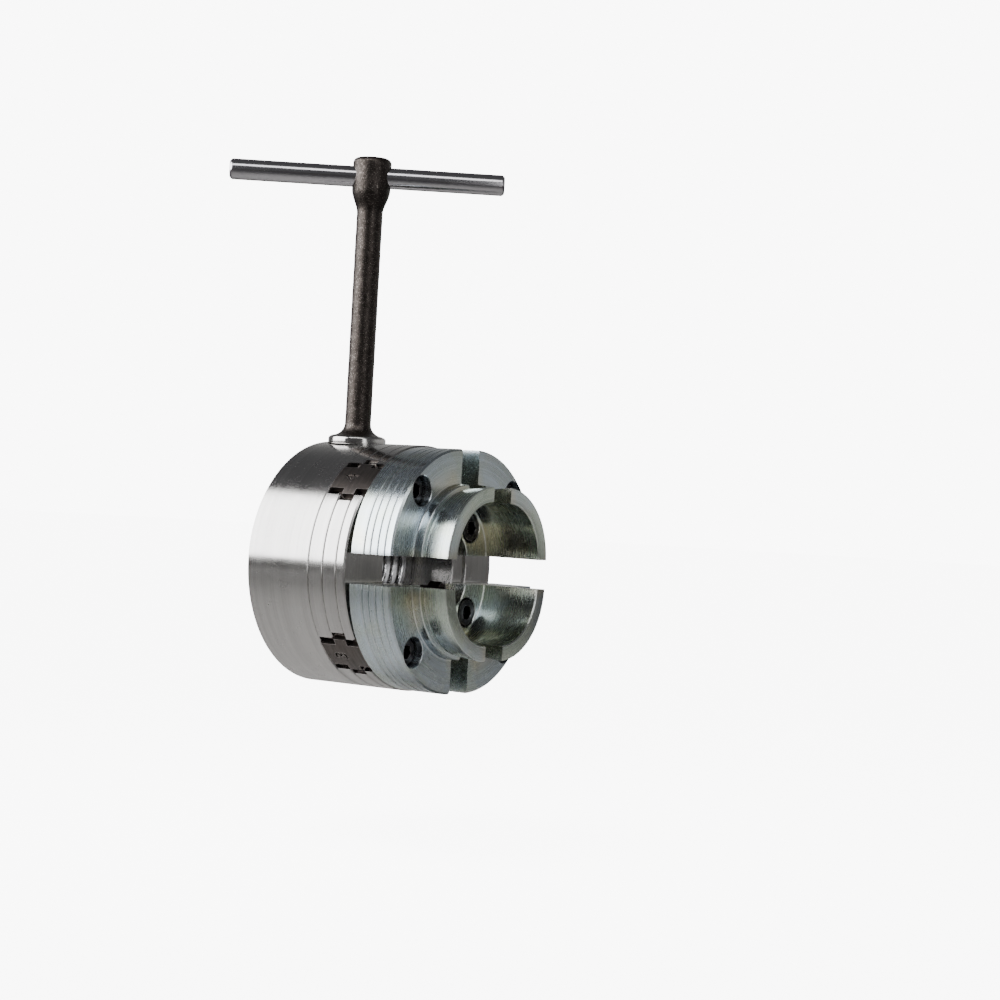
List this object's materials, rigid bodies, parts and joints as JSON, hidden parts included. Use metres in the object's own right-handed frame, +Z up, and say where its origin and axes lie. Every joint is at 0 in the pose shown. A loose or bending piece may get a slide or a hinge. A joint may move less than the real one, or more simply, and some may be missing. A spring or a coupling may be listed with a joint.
{
  "type": "lathe chuck",
  "caption": "Geared scroll chuck for a wood lathe, with sliding jaws, spindle insert and a T-handled key in its drive socket.",
  "frame": {"origin": "on the spindle axis, in the rear register face of the spindle insert", "axes": "+X along the spindle axis towards the work, +Z up along the key's axis, +Y across"},
  "size_m": [0.114, 0.092, 0.2009],
  "materials": {
    "body_steel": "fine turned steel with circumferential grain",
    "cover_steel": "faced steel plate",
    "insert_steel": "turned steel, lightly oiled",
    "slide_steel": "hardened steel, dark brown-grey",
    "jaw_plate": "bright zinc plate with a faint blue and yellow tint",
    "gear_steel": "oiled gear steel",
    "spring_steel": "blued spring steel",
    "black_screw": "black oxide",
    "forged_steel": "dark phosphated forging, polished collar",
    "bright_bar": "ground and polished round bar"
  },
  "bodies": {
    "chuck": {"chuck_body": "body_steel", "rear_cover": "cover_steel", "rear_cover_screw_1": "black_screw", "rear_cover_screw_2": "black_screw", "rear_cover_screw_3": "black_screw", "rear_cover_screw_4": "black_screw", "rear_cover_screw_5": "black_screw", "rear_cover_screw_6": "black_screw", "spindle_insert": "insert_steel", "spindle_lock_screw": "black_screw", "scroll_retaining_ring": "spring_steel", "pinion_retaining_pin": "spring_steel"},
    "scroll": {"scroll_ring": "gear_steel"},
    "pinion": {"bevel_pinion": "gear_steel"},
    "key": {"key_shank": "forged_steel", "key_bar": "bright_bar"},
    "jaw_unit_1": {"jaw_slide_1": "slide_steel", "jaw_1": "jaw_plate", "jaw_screw_1_outer": "black_screw", "jaw_screw_1_inner": "black_screw"},
    "jaw_unit_2": {"jaw_slide_2": "slide_steel", "jaw_2": "jaw_plate", "jaw_screw_2_outer": "black_screw", "jaw_screw_2_inner": "black_screw"},
    "jaw_unit_3": {"jaw_slide_3": "slide_steel", "jaw_3": "jaw_plate", "jaw_screw_3_outer": "black_screw", "jaw_screw_3_inner": "black_screw"},
    "jaw_unit_4": {"jaw_slide_4": "slide_steel", "jaw_4": "jaw_plate", "jaw_screw_4_outer": "black_screw", "jaw_screw_4_inner": "black_screw"}
  },
  "joints": [
    {"name": "scroll_turn", "type": "hinge", "parent": "chuck", "child": "scroll", "pos_m": [0.03, 0, 0], "axis": [1, 0, 0], "range_deg": [-468, 720]},
    {"name": "pinion_turn", "type": "hinge", "parent": "chuck", "child": "pinion", "pos_m": [0.02, 0, 0.03], "axis": [0, 0, 1], "range_deg": [-3601, 2341]},
    {"name": "key_withdraw", "type": "slide", "parent": "pinion", "child": "key", "axis": [0, 0, 1], "range_m": [0, 0.02]},
    {"name": "jaw_travel_1", "type": "slide", "parent": "chuck", "child": "jaw_unit_1", "axis": [0, 0.7071, 0.7071], "range_m": [-0.00651, 0.01001]},
    {"name": "jaw_travel_2", "type": "slide", "parent": "chuck", "child": "jaw_unit_2", "axis": [0, 0.7071, -0.7071], "range_m": [-0.00651, 0.01001]},
    {"name": "jaw_travel_3", "type": "slide", "parent": "chuck", "child": "jaw_unit_3", "axis": [0, -0.7071, -0.7071], "range_m": [-0.00651, 0.01001]},
    {"name": "jaw_travel_4", "type": "slide", "parent": "chuck", "child": "jaw_unit_4", "axis": [0, -0.7071, 0.7071], "range_m": [-0.00651, 0.01001]}
  ],
  "couplings": [
    {"joint": "pinion_turn", "follows": "scroll_turn", "ratio": -5},
    {"joint": "jaw_travel_1", "follows": "scroll_turn", "m_per_rad": 0.00079577},
    {"joint": "jaw_travel_2", "follows": "scroll_turn", "m_per_rad": 0.00079577},
    {"joint": "jaw_travel_3", "follows": "scroll_turn", "m_per_rad": 0.00079577},
    {"joint": "jaw_travel_4", "follows": "scroll_turn", "m_per_rad": 0.00079577}
  ]
}
